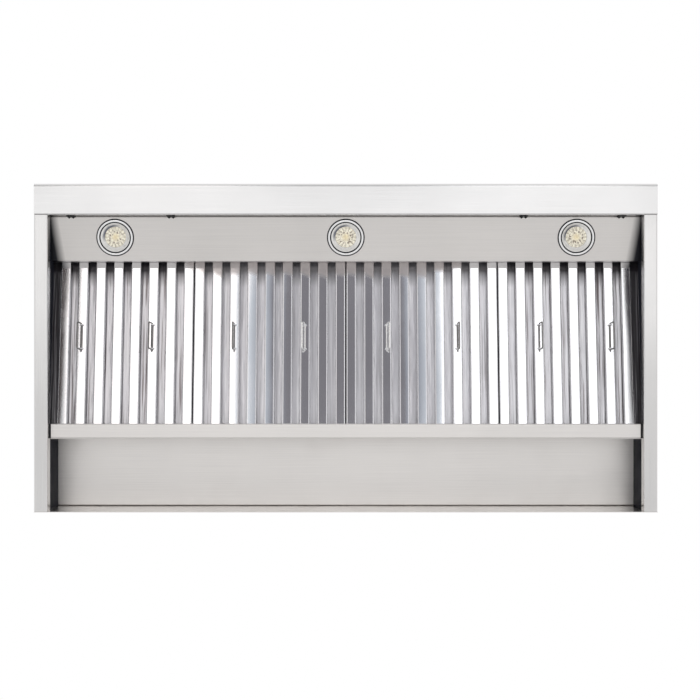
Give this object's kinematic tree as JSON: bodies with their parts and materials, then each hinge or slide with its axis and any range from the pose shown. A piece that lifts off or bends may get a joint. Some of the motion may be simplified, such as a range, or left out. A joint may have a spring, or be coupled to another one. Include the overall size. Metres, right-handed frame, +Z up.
{
  "type": "range hood insert",
  "caption": "Wide steel liner, open below, with round lamps, sloping baffle filters with wire pulls, a grease trough, a blower in a plenum and a round duct collar with a damper.",
  "frame": {"origin": "middle of the rim's rectangle, on the plane of the rim's underside", "axes": "+X to the right of someone standing in front of the hood, -Y towards that person, +Z up towards the duct"},
  "size_m": [1.178, 0.621, 0.416],
  "materials": {
    "brushed_stainless": "fine brushed, grain left to right",
    "filter_steel": "polished sheet with a soft mirror",
    "handle_wire": "polished wire",
    "lamp_chrome": "polished",
    "lamp_housing": "glossy white reflector",
    "lamp_lens": "warm frosted lens with a faceted back",
    "galvanised_sheet": "dull zinc coat",
    "zinc_plated_steel": "zinc plated",
    "damper_aluminium": "mill finish",
    "motor_paint": "satin black",
    "driver_case": "matte off-white",
    "black_plastic": "matte"
  },
  "bodies": {
    "hood": {"front_panel": "brushed_stainless", "right_side_panel": "brushed_stainless", "left_side_panel": "brushed_stainless", "rear_panel": "brushed_stainless", "top_panel": "galvanised_sheet", "hanger_plates": "galvanised_sheet", "right_side_lining": "brushed_stainless", "left_side_lining": "brushed_stainless", "recess_panel": "brushed_stainless", "grease_trough": "brushed_stainless", "trough_end_caps": "brushed_stainless", "light_panel": "brushed_stainless", "panel_clips": "zinc_plated_steel", "filter_header": "brushed_stainless", "lamp_bezels": "lamp_chrome", "lamp_modules": "lamp_housing", "lamp_lenses": "lamp_lens", "lamp_boxes": "galvanised_sheet", "plenum_casing": "galvanised_sheet", "duct_collar": "galvanised_sheet", "damper_pins": "zinc_plated_steel", "scroll_wrap": "galvanised_sheet", "scroll_sides": "galvanised_sheet", "outlet_plate": "galvanised_sheet", "inlet_rings": "galvanised_sheet", "motor": "motor_paint", "motor_arms": "zinc_plated_steel", "junction_box": "galvanised_sheet", "junction_box_cover": "galvanised_sheet", "cable_gland": "black_plastic", "wiring_conduit": "zinc_plated_steel", "lamp_driver": "driver_case", "roof_bolts": "zinc_plated_steel"},
    "front_flap": {"front_damper_flap": "damper_aluminium"},
    "rear_flap": {"rear_damper_flap": "damper_aluminium"},
    "rotor": {"impeller": "galvanised_sheet", "impeller_blades": "galvanised_sheet", "motor_shaft": "zinc_plated_steel"},
    "filter_1": {"filter_1_frame": "filter_steel", "filter_1_front_baffles": "filter_steel", "filter_1_rear_baffles": "filter_steel"},
    "filter_1_left_handle": {"filter_1_left_handle": "handle_wire"},
    "filter_1_right_handle": {"filter_1_right_handle": "handle_wire"},
    "filter_2": {"filter_2_frame": "filter_steel", "filter_2_front_baffles": "filter_steel", "filter_2_rear_baffles": "filter_steel"},
    "filter_2_left_handle": {"filter_2_left_handle": "handle_wire"},
    "filter_2_right_handle": {"filter_2_right_handle": "handle_wire"},
    "filter_3": {"filter_3_frame": "filter_steel", "filter_3_front_baffles": "filter_steel", "filter_3_rear_baffles": "filter_steel"},
    "filter_3_left_handle": {"filter_3_left_handle": "handle_wire"},
    "filter_3_right_handle": {"filter_3_right_handle": "handle_wire"},
    "filter_4": {"filter_4_frame": "filter_steel", "filter_4_front_baffles": "filter_steel", "filter_4_rear_baffles": "filter_steel"},
    "filter_4_left_handle": {"filter_4_left_handle": "handle_wire"},
    "filter_4_right_handle": {"filter_4_right_handle": "handle_wire"}
  },
  "joints": [
    {"name": "filter_1_slide", "type": "slide", "parent": "hood", "child": "filter_1", "axis": [0, -0.9863, 0.165], "range_m": [0, 0.027]},
    {"name": "filter_1_left_handle_swing", "type": "hinge", "parent": "filter_1", "child": "filter_1_left_handle", "pos_m": [-0.5075, -0.0217, 0.05767], "axis": [0, -0.9863, 0.165], "range_deg": [-80, 80]},
    {"name": "filter_1_right_handle_swing", "type": "hinge", "parent": "filter_1", "child": "filter_1_right_handle", "pos_m": [-0.3715, -0.0217, 0.05767], "axis": [0, -0.9863, 0.165], "range_deg": [-80, 80]},
    {"name": "filter_2_slide", "type": "slide", "parent": "hood", "child": "filter_2", "axis": [0, -0.9863, 0.165], "range_m": [0, 0.027]},
    {"name": "filter_2_left_handle_swing", "type": "hinge", "parent": "filter_2", "child": "filter_2_left_handle", "pos_m": [-0.2145, -0.0217, 0.05767], "axis": [0, -0.9863, 0.165], "range_deg": [-80, 80]},
    {"name": "filter_2_right_handle_swing", "type": "hinge", "parent": "filter_2", "child": "filter_2_right_handle", "pos_m": [-0.0785, -0.0217, 0.05767], "axis": [0, -0.9863, 0.165], "range_deg": [-80, 80]},
    {"name": "filter_3_slide", "type": "slide", "parent": "hood", "child": "filter_3", "axis": [0, -0.9863, 0.165], "range_m": [0, 0.027]},
    {"name": "filter_3_left_handle_swing", "type": "hinge", "parent": "filter_3", "child": "filter_3_left_handle", "pos_m": [0.0785, -0.0217, 0.05767], "axis": [0, -0.9863, 0.165], "range_deg": [-80, 80]},
    {"name": "filter_3_right_handle_swing", "type": "hinge", "parent": "filter_3", "child": "filter_3_right_handle", "pos_m": [0.2145, -0.0217, 0.05767], "axis": [0, -0.9863, 0.165], "range_deg": [-80, 80]},
    {"name": "filter_4_slide", "type": "slide", "parent": "hood", "child": "filter_4", "axis": [0, -0.9863, 0.165], "range_m": [0, 0.027]},
    {"name": "filter_4_left_handle_swing", "type": "hinge", "parent": "filter_4", "child": "filter_4_left_handle", "pos_m": [0.3715, -0.0217, 0.05767], "axis": [0, -0.9863, 0.165], "range_deg": [-80, 80]},
    {"name": "filter_4_right_handle_swing", "type": "hinge", "parent": "filter_4", "child": "filter_4_right_handle", "pos_m": [0.5075, -0.0217, 0.05767], "axis": [0, -0.9863, 0.165], "range_deg": [-80, 80]},
    {"name": "front_damper_swing", "type": "hinge", "parent": "hood", "child": "front_flap", "pos_m": [0, 0.026, 0.382], "axis": [-1, 0, 0], "range_deg": [0, 80]},
    {"name": "rear_damper_swing", "type": "hinge", "parent": "hood", "child": "rear_flap", "pos_m": [0, 0.034, 0.382], "axis": [1, 0, 0], "range_deg": [0, 80]},
    {"name": "impeller_spin", "type": "hinge", "parent": "hood", "child": "rotor", "pos_m": [0, 0.10481, 0.2596], "axis": [1, 0, 0], "continuous": true}
  ]
}
